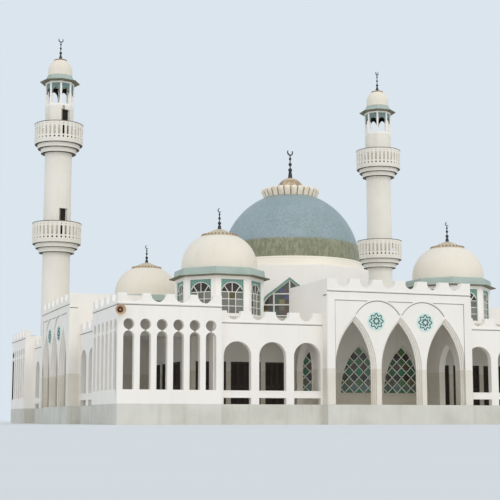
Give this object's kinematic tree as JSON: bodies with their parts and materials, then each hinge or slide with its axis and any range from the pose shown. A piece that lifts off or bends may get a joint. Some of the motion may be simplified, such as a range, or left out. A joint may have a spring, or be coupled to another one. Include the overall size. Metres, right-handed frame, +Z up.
{
  "type": "domed mosque building",
  "caption": "White mosque with a blue-grey central dome, corner domes on glazed drums, arcades, arched portals and two slim minarets at the back corners.",
  "frame": {"origin": "on the ground under the middle of the plan, on the plinth's underside", "axes": "+Z up, -Y towards the front that the picture shows at the right, +X along that front to the right"},
  "size_m": [37.62, 40.0703, 34.5583],
  "materials": {
    "white_render": "smooth white painted render",
    "cream_dome": "cream painted dome",
    "plaster": "plain pale plaster",
    "slate_tile": "blue-grey mosaic tile",
    "celadon_tile": "pale green tile and paint",
    "tan_trim": "tan painted concrete",
    "window_glass": "dark window glass",
    "minaret_render": "warm white painted render",
    "beige_metal": "beige painted horn"
  },
  "bodies": {
    "root": {"plinth": "plaster", "front_left_pavilion": "white_render", "front_right_pavilion": "white_render", "back_right_pavilion": "white_render", "back_left_pavilion": "white_render", "front_arcade_right": "white_render", "front_arcade_left": "white_render", "front_portal_wall": "white_render", "front_portal_shell": "white_render", "front_hall_wall": "plaster", "front_hall_glazing": "window_glass", "right_arcade_right": "white_render", "right_arcade_left": "white_render", "right_portal_wall": "white_render", "right_portal_shell": "white_render", "right_hall_wall": "plaster", "right_hall_glazing": "window_glass", "back_arcade_right": "white_render", "back_arcade_left": "white_render", "back_portal_wall": "white_render", "back_portal_shell": "white_render", "back_hall_wall": "plaster", "back_hall_glazing": "window_glass", "left_arcade_right": "white_render", "left_arcade_left": "white_render", "left_portal_wall": "white_render", "left_portal_shell": "white_render", "left_hall_wall": "plaster", "left_hall_glazing": "window_glass", "hall_roof": "plaster", "front_left_drum": "celadon_tile", "front_left_drum_glazing": "window_glass", "front_left_dome": "cream_dome", "front_right_drum": "celadon_tile", "front_right_drum_glazing": "window_glass", "front_right_dome": "cream_dome", "back_right_drum": "celadon_tile", "back_right_drum_glazing": "window_glass", "back_right_dome": "cream_dome", "back_left_drum": "celadon_tile", "back_left_drum_glazing": "window_glass", "back_left_dome": "cream_dome", "main_drum": "white_render", "main_drum_glazing": "window_glass", "main_dome_ring": "cream_dome", "main_dome": "slate_tile", "main_dome_crown": "tan_trim", "left_minaret_shaft": "minaret_render", "left_minaret_lower_rail": "minaret_render", "left_minaret_upper_rail": "minaret_render", "left_minaret_lantern": "white_render", "left_minaret_cap": "cream_dome", "right_minaret_shaft": "minaret_render", "right_minaret_lower_rail": "minaret_render", "right_minaret_upper_rail": "minaret_render", "right_minaret_lantern": "white_render", "right_minaret_cap": "cream_dome", "loudspeaker": "beige_metal"}
  },
  "joints": []
}
